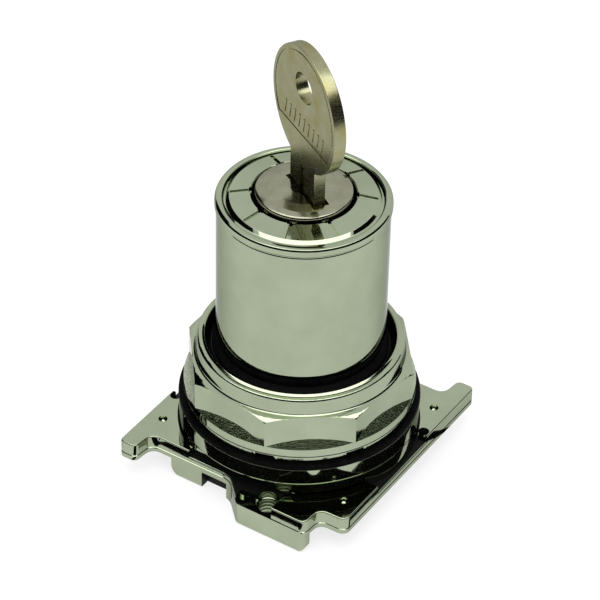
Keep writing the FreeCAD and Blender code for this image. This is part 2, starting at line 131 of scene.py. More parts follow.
# lens: its bearing from the -Y side, and the point it aims at, over the axis
LENS_BEARING = 32.5
LENS_ELEVATION = 38.39
LENS_ROLL = 1.31
LENS_DISTANCE = 510.5
AIM_HEIGHT = 12.2
AIM_RIGHT = 0.083
AIM_UP = 15.154

# ------------------------------------------------------------------ node-tree helpers


def shader(name, colour, metallic, roughness):
    """New material; returns it with its tree and its shader."""
    mat = bpy.data.materials.new(name)
    mat.use_nodes = True
    tree = mat.node_tree
    main = tree.nodes["Principled BSDF"]
    main.inputs["Base Color"].default_value = (*colour, 1)
    main.inputs["Metallic"].default_value = metallic
    if metallic:
        main.inputs["Specular Tint"].default_value = (0.5, 0.5, 0.5, 1)
    main.inputs["Roughness"].default_value = roughness
    return mat, tree, main


def coordinates(tree, stretch=(1, 1, 1)):
    """Object coordinates in millimetres, stretched along the axes."""
    source = tree.nodes.new("ShaderNodeTexCoord")
    mapping = tree.nodes.new("ShaderNodeMapping")
    mapping.inputs["Scale"].default_value = [1000 * s for s in stretch]
    tree.links.new(source.outputs["Object"], mapping.inputs["Vector"])
    return mapping.outputs["Vector"]


def noise(tree, vector, scale, detail=3.0, rough=0.55):
    """Noise value on a vector."""
    node = tree.nodes.new("ShaderNodeTexNoise")
    node.inputs["Scale"].default_value = scale
    node.inputs["Detail"].default_value = detail
    node.inputs["Roughness"].default_value = rough
    tree.links.new(vector, node.inputs["Vector"])
    return node.outputs["Fac"]


def ramp(tree, value, stops):
    """Colour ramp with (position, grey or colour) stops."""
    node = tree.nodes.new("ShaderNodeValToRGB")
    elements = node.color_ramp.elements
    while len(elements) < len(stops):
        elements.new(0.5)
    for element, (place, colour) in zip(elements, stops):
        if isinstance(colour, (int, float)):
            colour = (colour, colour, colour)
        element.position = place
        element.color = (*colour, 1)
    tree.links.new(value, node.inputs["Fac"])
    return node.outputs["Color"]


def bump(tree, main, height, strength, distance_mm):
    """Bump on the main shader."""
    node = tree.nodes.new("ShaderNodeBump")
    node.inputs["Strength"].default_value = strength
    node.inputs["Distance"].default_value = distance_mm * MM
    tree.links.new(height, node.inputs["Height"])
    tree.links.new(node.outputs["Normal"], main.inputs["Normal"])


# ------------------------------------------------------------------ materials


def plated_chrome():
    """Bright chrome over a die casting: slight ripple, faint haze and fine rubs."""
    # The base colour is darker and greener than bare chrome: a painted reflection of the grey-green
    # surroundings it mirrors, varied at random by the cloud ramp.
    mat, tree, main = shader("plated_chrome", (0.36, 0.41, 0.29), 1.0, 0.07)
    place = coordinates(tree)
    cloud = noise(tree, place, 0.12, 3.0)
    fine = noise(tree, place, 1.6, 4.0)
    tint = ramp(tree, cloud, [(0.3, (0.33, 0.375, 0.265)), (0.7, (0.385, 0.435, 0.315))])
    tree.links.new(tint, main.inputs["Base Color"])
    rough = ramp(tree, fine, [(0.35, 0.03), (0.75, 0.10)])
    tree.links.new(rough, main.inputs["Roughness"])
    bump(tree, main, noise(tree, place, 0.45, 2.0), 0.2, 0.03)
    return mat


def painted_recess_shade():
    """Near-black painted shade for the deep recesses and the threads, with a fine random grain."""
    mat, tree, main = shader("painted_recess_shade", (0.01, 0.01, 0.009), 0.0, 0.5)
    grain = noise(tree, coordinates(tree), 3.0, 4.0)
    tree.links.new(ramp(tree, grain, [(0.3, 0.003), (0.75, 0.012)]), main.inputs["Base Color"])
    tree.links.new(ramp(tree, grain, [(0.3, 0.3), (0.75, 0.55)]), main.inputs["Roughness"])
    main.inputs["Specular IOR Level"].default_value = 0.08
    bump(tree, main, grain, 0.3, 0.05)
    return mat


def cast_ledge():
    """Plated but unpolished casting skin, for the ledges where a tool can't reach."""
    # Its grey-green tone carries the same painted reflection of the surroundings as the chrome.
    mat, tree, main = shader("cast_ledge", (0.45, 0.5, 0.38), 1.0, 0.2)
    place = coordinates(tree)
    grain = noise(tree, place, 2.6, 3.0, 0.7)
    tree.links.new(ramp(tree, grain, [(0.35, 0.10), (0.7, 0.22)]), main.inputs["Roughness"])
    tree.links.new(ramp(tree, grain, [(0.4, (0.36, 0.40, 0.30)), (0.65, (0.52, 0.57, 0.45))]),
                   main.inputs["Base Color"])
    bump(tree, main, grain, 0.5, 0.09)
    return mat


def black_rubber():
    """Black nitrile with a faint moulded bloom."""
    mat, tree, main = shader("black_rubber", (0.003, 0.003, 0.003), 0.0, 0.45)
    place = coordinates(tree)
    bloom = noise(tree, place, 0.8, 4.0)
    tree.links.new(ramp(tree, bloom, [(0.3, 0.0015), (0.8, 0.005)]), main.inputs["Base Color"])
    tree.links.new(ramp(tree, bloom, [(0.3, 0.4), (0.8, 0.6)]), main.inputs["Roughness"])
    main.inputs["Specular IOR Level"].default_value = 0.02
    bump(tree, main, noise(tree, place, 6.0, 3.0), 0.2, 0.03)
    return mat


def satin_cap():
    """Spun stainless cap: fine satin with soft smudges."""
    mat, tree, main = shader("satin_cap", (0.30, 0.31, 0.20), 1.0, 0.16)
    place = coordinates(tree)
    smudge = noise(tree, place, 0.5, 3.0)
    grain = noise(tree, coordinates(tree, (0.6, 9.0, 1.0)), 2.0, 3.0)
    tree.links.new(ramp(tree, smudge, [(0.3, (0.27, 0.27, 0.20)), (0.7, (0.34, 0.345, 0.245))]),
                   main.inputs["Base Color"])
    tree.links.new(ramp(tree, smudge, [(0.3, 0.10), (0.75, 0.18)]), main.inputs["Roughness"])
    bump(tree, main, grain, 0.1, 0.01)
    return mat


def key_metal():
    """Nickel silver key blank: warm, lightly worn and scratched."""
    mat, tree, main = shader("key_metal", (0.31, 0.31, 0.185), 1.0, 0.25)
    place = coordinates(tree)
    wear = noise(tree, place, 0.35, 5.0)
    scratch = noise(tree, coordinates(tree, (1.0, 1.0, 14.0)), 0.7, 2.0)
    tree.links.new(ramp(tree, wear, [(0.3, (0.30, 0.275, 0.13)), (0.5, (0.315, 0.31, 0.185)),
                                     (0.75, (0.345, 0.35, 0.235))]), main.inputs["Base Color"])
    tree.links.new(ramp(tree, scratch, [(0.3, 0.2), (0.7, 0.32)]), main.inputs["Roughness"])
    bump(tree, main, scratch, 0.15, 0.02)
    return mat


def machined(name, colour, roughness):
    """Turned or stamped metal of an inner piece, with fine tool lines."""
    mat, tree, main = shader(name, colour, 1.0, roughness)
    lines = noise(tree, coordinates(tree, (0.4, 0.4, 12.0)), 1.0, 3.0)
    low = tuple(0.8 * c for c in colour)
    tree.links.new(ramp(tree, lines, [(0.3, low), (0.7, colour)]), main.inputs["Base Color"])
    tree.links.new(ramp(tree, lines, [(0.3, roughness * 0.7), (0.7, roughness * 1.3)]),
                   main.inputs["Roughness"])
    bump(tree, main, lines, 0.2, 0.02)
    return mat


def moulded_nylon():
    """Black moulded nylon with a fine spark-eroded texture."""
    mat, tree, main = shader("moulded_nylon", (0.03, 0.03, 0.032), 0.0, 0.5)
    grain = noise(tree, coordinates(tree), 4.0, 4.0)
    tree.links.new(ramp(tree, grain, [(0.3, 0.02), (0.7, 0.045)]), main.inputs["Base Color"])
    tree.links.new(ramp(tree, grain, [(0.3, 0.42), (0.7, 0.6)]), main.inputs["Roughness"])
    bump(tree, main, grain, 0.3, 0.03)
    return mat


# ------------------------------------------------------------------ mesh helpers


def new_object(name, mesh):
    """Object with a mesh, linked to the scene."""
    piece = bpy.data.objects.new(name, mesh)
    bpy.context.scene.collection.objects.link(piece)
    return piece


def settle(piece):
    """Bake an object's modifiers and place into its mesh."""
    bpy.context.view_layer.update()
    graph = bpy.context.evaluated_depsgraph_get()
    mesh = bpy.data.meshes.new_from_object(piece.evaluated_get(graph))
    mesh.transform(piece.matrix_world)
    old = piece.data
    piece.modifiers.clear()
    piece.data = mesh
    piece.matrix_world = Matrix.Identity(4)
    if isinstance(old, bpy.types.Mesh):
        bpy.data.meshes.remove(old)


def corner_arc(before, here, after, radius):
    """Points that round one corner of an outline."""
    to_before = (before - here).normalized()
    to_after = (after - here).normalized()
    half = to_before.angle(to_after) / 2
    reach = radius / math.tan(half)
    centre = here + (to_before + to_after).normalized() * radius / math.sin(half)
    start = here + to_before * reach - centre
    end = here + to_after * reach - centre
    sweep = start.angle_signed(end)
    return [centre + Matrix.Rotation(-sweep * i / CORNER_STEPS, 2) @ start
            for i in range(CORNER_STEPS + 1)]


def rounded(corners):
    """Outline points from (x, y, corner radius) entries."""
    points = []
    for i, (x, y, radius) in enumerate(corners):
        before = Vector(corners[i - 1][:2])
        after = Vector(corners[(i + 1) % len(corners)][:2])
        if radius:
            points += corner_arc(before, Vector((x, y)), after, radius)
        else:
            points.append(Vector((x, y)))
    return points


def prism(name, points, low, high):
    """Upright solid over an outline, in millimetres."""
    mesh = bpy.data.meshes.new(name)
    shape = bmesh.new()
    verts = [shape.verts.new((x * MM, y * MM, low * MM)) for x, y in points]
    face = shape.faces.new(verts)
    lifted = bmesh.ops.extrude_face_region(shape, geom=[face])
    top = [g for g in lifted["geom"] if isinstance(g, bmesh.types.BMVert)]
    bmesh.ops.translate(shape, vec=(0, 0, (high - low) * MM), verts=top)
    bmesh.ops.recalc_face_normals(shape, faces=shape.faces)
    shape.to_mesh(mesh)
    shape.free()
    return new_object(name, mesh)


def inset(points, amount):
    """Outline moved inwards by an amount; the points run anticlockwise."""
    count = len(points)
    moved = []
    for i in range(count):
        here = Vector(points[i])
        first = (here - Vector(points[i - 1])).normalized()
        second = (Vector(points[(i + 1) % count]) - here).normalized()
        side = Vector((-first.y, first.x))
        other = Vector((-second.y, second.x))
        moved.append(here + (side + other) * amount / (1 + side.dot(other)))
    return moved


def layered(name, points, levels):
    """Upright solid over an outline, with an inset at each height, in millimetres."""
    points = cleaned(points)
    mesh = bpy.data.meshes.new(name)
    shape = bmesh.new()
    rows = []
    for z, amount in levels:
        rows.append([shape.verts.new((x * MM, y * MM, z * MM)) for x, y in inset(points, amount)])
    count = len(points)
    for low, high in zip(rows, rows[1:]):
        for i in range(count):
            j = (i + 1) % count
            shape.faces.new((low[i], low[j], high[j], high[i]))
    shape.faces.new(list(reversed(rows[0])))
    shape.faces.new(rows[-1])
    shape.to_mesh(mesh)
    shape.free()
    return new_object(name, mesh)


def cleaned(points):
    """Outline without repeated points."""
    kept = []
    for point in points:
        if not kept or (Vector(point) - Vector(kept[-1])).length > MERGE:
            kept.append(Vector(point))
    return kept


def block(name, x0, x1, y0, y1, z0, z1):
    """Box between two corners."""
    return prism(name, [(x0, y0), (x1, y0), (x1, y1), (x0, y1)], z0, z1)


def disc_points(radius, x=0.0, y=0.0, steps=96):
    """Points round a circle."""
    return [(x + radius * math.cos(math.tau * i / steps),
             y + radius * math.sin(math.tau * i / steps)) for i in range(steps)]


def turned(name, profile, closed=True, soften=0.0, steps=TURN_STEPS):
    """Solid of revolution from (radius, height) points; soften rounds the profile's corners."""
    mesh = bpy.data.meshes.new(name)
    count = len(profile)
    edges = [(i, i + 1) for i in range(count - 1)]
    if closed:
        edges.append((count - 1, 0))
    mesh.from_pydata([(r * MM, 0, z * MM) for r, z in profile], edges, [])
    piece = new_object(name, mesh)
    if soften:
        bevel = piece.modifiers.new("soften", "BEVEL")
        bevel.affect = "VERTICES"
        bevel.width = soften * MM
        bevel.segments = 3
        bevel.use_clamp_overlap = True
    screw = piece.modifiers.new("turn", "SCREW")
    screw.steps = steps
    screw.render_steps = steps
    screw.use_merge_vertices = True
    screw.merge_threshold = 0.002 * MM
    screw.use_smooth_shade = True
    return piece


def boolean(piece, other, operation="DIFFERENCE"):
    """Exact boolean with another object, which is then removed."""
    step = piece.modifiers.new("cut", "BOOLEAN")
    step.object = other
    step.operation = operation
    step.solver = "EXACT"
    settle(piece)
    bpy.data.objects.remove(other)
    return piece


def turn(piece, degrees):
    """Turn an object about the barrel axis, in its mesh."""
    piece.data.transform(Matrix.Rotation(math.radians(degrees), 4, "Z"))
    return piece


def tidy_mesh(piece):
    """Merge doubles, dissolve flat seams and point the faces outwards."""
    shape = bmesh.new()
    shape.from_mesh(piece.data)
    bmesh.ops.remove_doubles(shape, verts=shape.verts, dist=MERGE * MM)
    bmesh.ops.dissolve_limit(shape, angle_limit=math.radians(0.5), verts=shape.verts,
                             edges=shape.edges)
    bmesh.ops.recalc_face_normals(shape, faces=shape.faces)
    shape.to_mesh(piece.data)
    shape.free()


def soft_edges(piece, width, segments=2, angle=28.0):
    """Live bevel on the sharp edges, with flat faces kept flat."""
    for face in piece.data.polygons:
        face.use_smooth = True
    bevel = piece.modifiers.new("edges", "BEVEL")
    bevel.width = width * MM
    bevel.segments = segments
    bevel.limit_method = "ANGLE"
    bevel.angle_limit = math.radians(angle)
    bevel.use_clamp_overlap = True
    bevel.miter_outer = "MITER_ARC"
    even_normals(piece)


def even_normals(piece):
    """Weight the normals by face area, so flat faces reflect as flats."""
    weight = piece.modifiers.new("normals", "WEIGHTED_NORMAL")
    weight.mode = "FACE_AREA"
    weight.weight = 50
    weight.keep_sharp = True


def finish_piece(piece, body, material, slot, *nodes):
    """Give a piece its material and its body, and hide the CAD nodes it stands for; slot is not
    used.
    """
    piece.data.materials.clear()
    piece.data.materials.append(material)
    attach(piece, body)
    if nodes:
        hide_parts(*nodes)


# ------------------------------------------------------------------ the pieces


def plate_outline():
    """Outline of the base plate, the same after half a turn."""
    half = [
        (-PLATE_X, -LUG_Y - 0.2, 0.9), (-18.0, -LUG_Y - 0.2, 1.1), (-17.6, -PLATE_Y, 1.7),
        (LUG_TURN, -PLATE_Y, 3.6), (LUG_START, -LUG_Y, 1.2), (LUG_END, -LUG_Y, 1.3),
        (16.3, -PLATE_Y + 0.2, 1.5), (PLATE_X, -PLATE_Y + 0.3, 1.5),
    ]
    return rounded(half + [(-x, -y, radius) for x, y, radius in half])


def skirt_and_lug():
    """Deep wall along one long side, over the blind window and round the tapped lug."""
    inner = -PLATE_Y + SKIRT_WALL
    lug_inner = -LUG_Y + SKIRT_WALL
    strip = rounded([
        (SKIRT_END, -PLATE_Y, 0), (LUG_TURN, -PLATE_Y, 3.6), (LUG_START, -LUG_Y, 1.2),
        (LUG_END, -LUG_Y, 1.2), (LUG_END, lug_inner, 0), (LUG_START + 0.75, lug_inner, 0.5),
        (LUG_TURN + 0.75, inner, 2.0), (SKIRT_END, inner, 0)])
    skirt = layered("skirt", strip, [(0, 0.22), (0.07, 0.08), (0.22, 0), (PLATE_UNDER + 0.3, 0)])
    side = rounded([(SKIRT_END, 0, 1.9), (LUG_END, 0, 1.4), (LUG_END, 5, 0), (SKIRT_END, 5, 0)])
    profile = prism("profile", side, 0, 20)
    profile.data.transform(Matrix.Rotation(math.radians(90), 4, "X"))
    profile.data.transform(Matrix.Translation((0, -10 * MM, 0)))
    boolean(skirt, profile, "INTERSECT")
    seat = prism("seat", disc_points(TAPPED_R + 0.9, *TAPPED, 48), 0, PLATE_UNDER + 0.2)
    boolean(seat, block("keep", 0, LUG_END, -LUG_Y + 0.3, 0, -1, CLEAR), "INTERSECT")
    boolean(skirt, seat, "UNION")
    left, right = WINDOW
    boolean(skirt, block("window", left, right, -PLATE_Y - 1, inner + 0.01, -1, PLATE_UNDER))
    # A backing wall closes the window; its face takes painted shade later.
    boolean(skirt, block("backing", left - 1.5, right + 1.5, inner, inner + 1, 0.02,
                         PLATE_UNDER + 0.1), "UNION")
    return skirt


def plate_dimple(x, y):
    """Ball that sinks a locating dot into a pad."""
    mesh = bpy.data.meshes.new("dimple")
    shape = bmesh.new()
    bmesh.ops.create_uvsphere(shape, u_segments=24, v_segments=12, radius=DIMPLE_R * MM)
    shape.to_mesh(mesh)
    shape.free()
    mesh.transform(Matrix.Translation((x * MM, y * MM, (PAD - 0.1) * MM)))
    return new_object("dimple", mesh)


def paint_recess_shade(plate, dark):
    """Painted shade: near-black on the faces of the blind windows, the pockets and the cavity of
    the plate.
    """
    left, right = WINDOW
    plate.data.materials.append(dark)
    for face in plate.data.polygons:
        front = face.center if face.center.y < 0 else -face.center
        x = front.x / MM
        y = front.y / MM
        low = face.center.z < (PLATE_UNDER + 0.05) * MM
        in_window = low and left - 0.1 < x < right + 0.1 and -PLATE_Y + 0.1 < y < -16.5
        in_pocket = math.hypot(x + POCKET[0], y + POCKET[1]) < POCKET_R + 0.02
        if in_window or in_pocket or face.center.xy.length < (CAVITY_R + 0.1) * MM:
            face.material_index = 1


def casting_plate(chrome, dark):
    """Plate with its pads, skirts, waist, parting line and holes."""
    outline = plate_outline()
    boss_ring = disc_points(BOSS_R, steps=WIDE_STEPS)
    foot = [(PLATE_UNDER, 0.22), (PLATE_UNDER + 0.07, 0.08), (PLATE_UNDER + 0.22, 0)]
    seam = [(SEAM, 0), (SEAM + 0.08, 0.12), (SEAM + 0.22, 0.12), (SEAM + 0.3, 0)]
    deck = [(DECK - 0.25, 0), (DECK - 0.08, 0.08), (DECK, 0.25)]
    plate = layered("casting_plate", outline, foot + seam + deck)
    waist = prism("waist", boss_ring, SEAM + 0.1, WAIST + 0.1)
    limit = block("limit", -FAR, FAR, -WAIST_Y, WAIST_Y, SEAM, CLEAR)
    boolean(plate, boolean(waist, limit, "INTERSECT"), "UNION")
    pad_levels = [(DECK - 0.3, 0), (PAD - 0.25, 0), (PAD - 0.08, 0.08), (PAD, 0.25)]
    for degrees in (0, 180):
        for x0, x1, y1 in PAD_CORNERS:
            pad = layered("pad", outline, pad_levels)
            corner = turn(block("corner", x0, x1, -FAR, y1, 0, CLEAR), degrees)
            boolean(plate, boolean(pad, corner, "INTERSECT"), "UNION")
        boolean(plate, turn(skirt_and_lug(), degrees), "UNION")
    for degrees in (0, 180):
        land = block("land", 2.0, 9.5, -LUG_Y - 1, -PLATE_Y + 0.9, SEAM, CLEAR - 1)
        boolean(land, prism("ring", boss_ring, 0, CLEAR))
        boolean(plate, turn(land, degrees))
        pocket = prism("pocket", disc_points(POCKET_R, *POCKET, 32), SEAM - 0.4, CLEAR)
        boolean(plate, turn(pocket, degrees))
        hole = prism("hole", disc_points(TAPPED_R, *TAPPED, 48), -1, CLEAR)
        boolean(plate, turn(hole, degrees))
    moat = prism("moat", disc_points(BOSS_R + MOAT, steps=WIDE_STEPS), DECK, CLEAR)
    boolean(moat, prism("core", boss_ring, 0, CLEAR + 1))
    boolean(plate, moat)
    boolean(plate, prism("cavity", disc_points(CAVITY_R, steps=WIDE_STEPS), -1, CLEAR))
    for sx in (-1, 1):
        for sy in (-1, 1):
            boolean(plate, plate_dimple(sx * DIMPLE[0], sy * DIMPLE[1]))
    tidy_mesh(plate)
    finish_piece(plate, "base", chrome, "plated_casting", "base_casting")
    paint_recess_shade(plate, dark)
    soft_edges(plate, 0.06, 2, 40.0)


def casting_boss(chrome, dark):
    """Round boss, threaded bushing and neck, hollow below for the cam."""
    profile = [(NECK_R, NECK_TOP), (NECK_R, THREAD_TOP), (THREAD_R, THREAD_TOP)]
    z = THREAD_TOP - 0.4
    while z > BOSS_TOP + 1.6:
        profile += [(THREAD_R, z), (THREAD_ROOT, z - 0.4), (THREAD_ROOT, z - 0.75),
                    (THREAD_R, z - 1.15)]
        z -= 1.5
    profile += [(THREAD_R, BOSS_TOP), (BOSS_R - 0.08, BOSS_TOP), (BOSS_R, BOSS_TOP - 0.08),
                (BOSS_R, WAIST + 0.35), (BOSS_R - 0.06, WAIST + 0.15), (BOSS_R - 0.2, WAIST + 0.03),
                (BOSS_R - 0.4, WAIST), (CAVITY_R, WAIST), (CAVITY_R, CAVITY_TOP),
                (WHEEL_BORE, CAVITY_TOP), (WHEEL_BORE, WHEEL_TOP), (STEM_BORE, WHEEL_TOP),
                (STEM_BORE, NECK_TOP)]
    boss = turned("casting_boss", profile, soften=0.02)
    settle(boss)
    finish_piece(boss, "base", chrome, "plated_casting")
    # Painted shade: the cavity, bore and thread faces take the near-black recess material.
    boss.data.materials.append(dark)
    for face in boss.data.polygons:
        radius = face.center.xy.length / MM
        if radius < CAVITY_R + 0.05 and face.center.z < (THREAD_TOP + 0.1) * MM:
            face.material_index = 1
    even_normals(boss)


def lug_threads(chrome):
    """Threaded walls of the two tapped holes."""
    z = SEAM - 0.05
    profile = [(TAPPED_R + 0.05, z), (1.9, z)]
    while z > 0.8:
        profile += [(1.62, z - 0.3), (1.62, z - 0.42), (1.95, z - 0.7)]
        z -= 0.72
    profile += [(1.9, 0.1), (TAPPED_R + 0.05, 0.1)]
    profile.reverse()
    for i, degrees in enumerate((0, 180)):
        sleeve = turned("lug_thread_%d" % (i + 1), profile, steps=48)
        sleeve.location = (TAPPED[0] * MM, TAPPED[1] * MM, 0)
        settle(sleeve)
        turn(sleeve, degrees)
        finish_piece(sleeve, "base", chrome, "plated_casting")


def retaining_nut(chrome, ledge, dark):
    """Eight-sided nut: turned blank with its flats and flange notches cut."""
    lip = [(NUT_LIP_R - 0.18, NUT_TOP - 0.25), (NUT_LIP_R - 0.12, NUT_TOP - 0.08),
           (NUT_LIP_R, NUT_TOP)]
    groove = [(16.5, NUT_TOP - 0.23), (16.56, NUT_TOP - 0.27), (16.64, NUT_TOP - 0.27)]
    brim = [(17.05, NUT_TOP - 0.35), (17.28, NUT_TOP - 0.46), (17.42, NUT_TOP - 0.62),
            (NUT_NECK_R, NUT_TOP - 0.85)]
    shoulder = [(NUT_FOOT_R, 21.95), (17.78, 21.65), (18.0, 21.46), (18.4, 21.38), (18.8, 21.28),
                (19.2, 21.08), (19.55, 20.84), (NUT_CORNER_R, NUT_CORNER_TOP)]
    flange = [(NUT_CORNER_R, FLANGE_TOP), (FLANGE_R, FLANGE_TOP), (FLANGE_R, 14.22),
              (FLANGE_R - 0.1, 14.14), (FLANGE_R - 0.1, 14.06), (FLANGE_R, 13.98),
              (FLANGE_R, 13.0), (FLANGE_R - 0.2, GASKET_TOP)]
    bore = [(NUT_BORE, GASKET_TOP), (NUT_BORE, 20.6), (NUT_BORE + 0.25, 20.6), (16.0, 21.2)]
    profile = lip + groove + brim + shoulder + flange + bore
    nut = turned("retaining_nut", profile)
    settle(nut)
    half = NUT_FLATS / 2
    for i in range(8):
        angle = NUT_TURN + 22.5 + 45 * i
        flat = block("flat", half, half + 5, -8.0, 8.0, FLANGE_TOP, NUT_TOP + 2)
        boolean(nut, turn(flat, angle))
        notch = block("notch", FLANGE_R - 1.5, FLANGE_R + 2.3, -1.6, 1.6, GASKET_TOP - 1,
                      GASKET_TOP + 1)
        boolean(nut, turn(notch, NUT_TURN + 45 * i))
    tidy_mesh(nut)
    finish_piece(nut, "base", chrome, "plated_casting", "retaining_nut")
    nut.data.materials.append(ledge)
    nut.data.materials.append(dark)
    # The flange ledge takes the rough ledge finish; the mouth and bore faces take painted shade,
    # near-black.
    for face in nut.data.polygons:
        at_ledge = abs(face.center.z - FLANGE_TOP * MM) < 0.02 * MM
        radius = face.center.xy.length / MM
        if at_ledge and face.normal.z > 0.9 and radius > NUT_NECK_R:
            face.material_index = 1
        elif radius < 16.04 and face.center.z < 24.4 * MM:
            face.material_index = 2
    soft_edges(nut, 0.05, 2, 20.0)


def barrel(chrome):
    """Barrel shell with its rolled bead."""
    profile = [
        (13.3, RIM - 0.12), (13.5, RIM), (BEAD_R - 0.6, RIM - 0.02), (BEAD_R - 0.25, RIM - 0.16),
        (BEAD_R - 0.05, RIM - 0.42), (BEAD_R, RIM - 0.75), (BEAD_R, RIM - 1.3),
        (BEAD_R - 0.08, RIM - 1.5), (BARREL_R - 0.1, RIM - 1.62), (BARREL_R - 0.1, RIM - 1.8),
        (BARREL_R, RIM - 2.0),
        (BARREL_R, BARREL_BOTTOM + 0.9), (BARREL_R - 0.2, BARREL_BOTTOM + 0.35),
        (BARREL_R - 0.7, BARREL_BOTTOM), (13.25, BARREL_BOTTOM), (13.25, RIM - 1.3),
        (13.3, RIM - 1.2),
    ]
    shell = turned("barrel_shell_turned", profile, soften=0.05)
    even_normals(shell)
    finish_piece(shell, "base", chrome, "plated_casting", "barrel_shell")


def index_ring(chrome):
    """Dial ring with engraved marks."""
    profile = [
        (RING_BORE + 0.2, RING_INNER), (RING_R - 0.95, RIM + 0.16), (RING_R - 0.42, RIM - 0.3),
        (RING_R - 0.3, RIM - 0.35), (RING_R + 0.02, RIM - 0.45), (RING_R + 0.02, NECK_TOP),
        (RING_BORE, NECK_TOP), (RING_BORE, RING_INNER - 0.2),
    ]
    ring = turned("index_ring_turned", profile, soften=0.03)
    settle(ring)
    slope = math.atan2(RING_INNER - RIM, RING_R - RING_BORE)
    for angle in MARKS:
        line = block("line", 0.15, RING_R - RING_BORE - 1.0, -0.3, 0.3, -0.35, 2)
        line.data.transform(Matrix.Rotation(slope, 4, "Y"))
        line.data.transform(Matrix.Translation((RING_BORE * MM, 0, RING_INNER * MM)))
        boolean(ring, turn(line, angle))
        nick = block("nick", RING_BORE - 1, RING_BORE + 0.35, -0.7, 0.7, RING_INNER - 0.8,
                     RING_INNER + 1)
        boolean(ring, turn(nick, angle))
    tidy_mesh(ring)
    finish_piece(ring, "base", chrome, "plated_casting", "index_ring")
    soft_edges(ring, 0.05, 2)


def face_cap(satin):
    """Domed cap with its key entry and pointer notch."""
    profile = [(0, CAP_CROWN), (2.5, CAP_CROWN - 0.05), (5.0, CAP_CROWN - 0.22),
               (6.8, CAP_CROWN - 0.48), (CAP_R - 0.45, CAP_EDGE - 0.05),
               (CAP_R - 0.12, CAP_EDGE - 0.2), (CAP_R, CAP_EDGE - 0.55), (CAP_R, 51.4),
               (7.1, 51.4), (7.1, 54.0), (0, 54.0)]
    cap = turned("face_cap_turned", profile, closed=False, soften=0.1)
    settle(cap)
    boolean(cap, block("entry", BLADE_U - 4.95, BLADE_U + 4.95, -1.45, 1.45, 50, 60))
    boolean(cap, block("pointer", -0.45, 0.45, CAP_R - 0.85, CAP_R + 1, CAP_EDGE - 0.7, 57))
    turn(cap, KEY_TURN)
    tidy_mesh(cap)
    finish_piece(cap, "rotor", satin, "brushed_cap", "face_cap")
    soft_edges(cap, 0.08, 2)


def key_outline():
    """Round bow running into the straight blade, as (across, up) points."""
    left = BLADE_U - BLADE_W / 2
    right = BLADE_U + BLADE_W / 2
    reach = math.acos((BLADE_W / 2) / BOW_R)
    points = []
    steps = 72
    for i in range(steps + 1):
        angle = -reach + (math.pi + 2 * reach) * i / steps
        points.append((BLADE_U + BOW_R * math.cos(angle), BOW_Z + BOW_R * math.sin(angle)))
    points += [(left, BLADE_TIP + 1.6), (BLADE_U - 1.2, BLADE_TIP), (BLADE_U + 1.2, BLADE_TIP),
               (right, BLADE_TIP + 1.6)]
    return points


def upright(piece):
    """Stand a piece drawn flat in XY up in XZ, centred on the key's thickness."""
    piece.data.transform(Matrix.Rotation(math.radians(90), 4, "X"))
    return piece


def key(metal):
    """Key: bow with a rim line, an oblong hole and a ribbed band, and a grooved, notched blade."""
    half = KEY_THICK / 2
    body = upright(layered("key_blank", key_outline(),
                           [(-half, 0.16), (-half + 0.05, 0.05), (-half + 0.16, 0),
                            (half - 0.16, 0), (half - 0.05, 0.05), (half, 0.16)]))
    across, tall = HOLE_HALF
    hole = rounded([(BLADE_U + sx * across, HOLE_Z + sy * tall, tall - 0.1)
                    for sx, sy in ((-1, -1), (1, -1), (1, 1), (-1, 1))])
    boolean(body, upright(prism("hole", hole, -3, 3)))
    for side in (-1, 1):
        low, high = sorted((side * (half - 0.1), side * (half + 1)))
        outer, inner = [disc_points(BOW_R - step, BLADE_U, BOW_Z) for step in RIM_LINE]
        ring = prism("rim_line", outer, low, high)
        boolean(ring, prism("rim_core", inner, low - 1, high + 1))
        boolean(ring, block("rim_keep", -REACH, REACH, RIM_LOW, 90, -5, 5), "INTERSECT")
        boolean(body, upright(ring))
        band = block("band", -REACH, REACH, *BAND, low, high)
        boolean(band, prism("band_keep", disc_points(BOW_R - 0.9, BLADE_U, BOW_Z), -5, 5),
                "INTERSECT")
        boolean(body, upright(band))
        for i in range(9):
            u = BLADE_U - 6.4 + 1.6 * i
            rib = [(u - 0.45, RIBS[0]), (u - 0.05, RIBS[0]), (u + 0.45, RIBS[1]),
                   (u + 0.05, RIBS[1])]
            low, high = sorted((side * (half - 0.2), side * (half - 0.01)))
            boolean(body, upright(prism("rib", rib, low, high)), "UNION")
    for i in range(5):
        z = 36.0 + 2.6 * i
        depth = 0.5 + 0.25 * ((i * 2) % 3)
        for side in (-1, 1):
            edge = BLADE_U + side * BLADE_W / 2
            notch = [(edge + side * 0.5, z - 1.1), (edge - side * depth, z - 0.4),
                     (edge - side * depth, z + 0.4), (edge + side * 0.5, z + 1.1)]
            boolean(body, upright(prism("bitting", notch, -3, 3)))
    groove = prism("groove", [(-half - 0.5, 30), (-half + 0.6, 30), (-half + 0.6, 58.6),
                              (-half + 0.35, 59.3), (-half, 60.0), (-half - 0.5, 60.3)], 0.5, 1.6)
    groove.data.transform(Matrix(((0, 0, 1, 0), (1, 0, 0, 0), (0, 1, 0, 0), (0, 0, 0, 1))))
    boolean(body, groove)
    tidy_mesh(body)
    turn(body, KEY_TURN)
    finish_piece(body, "key", metal, "key_nickel_brass", "key")
    soft_edges(body, 0.03, 2, 35.0)


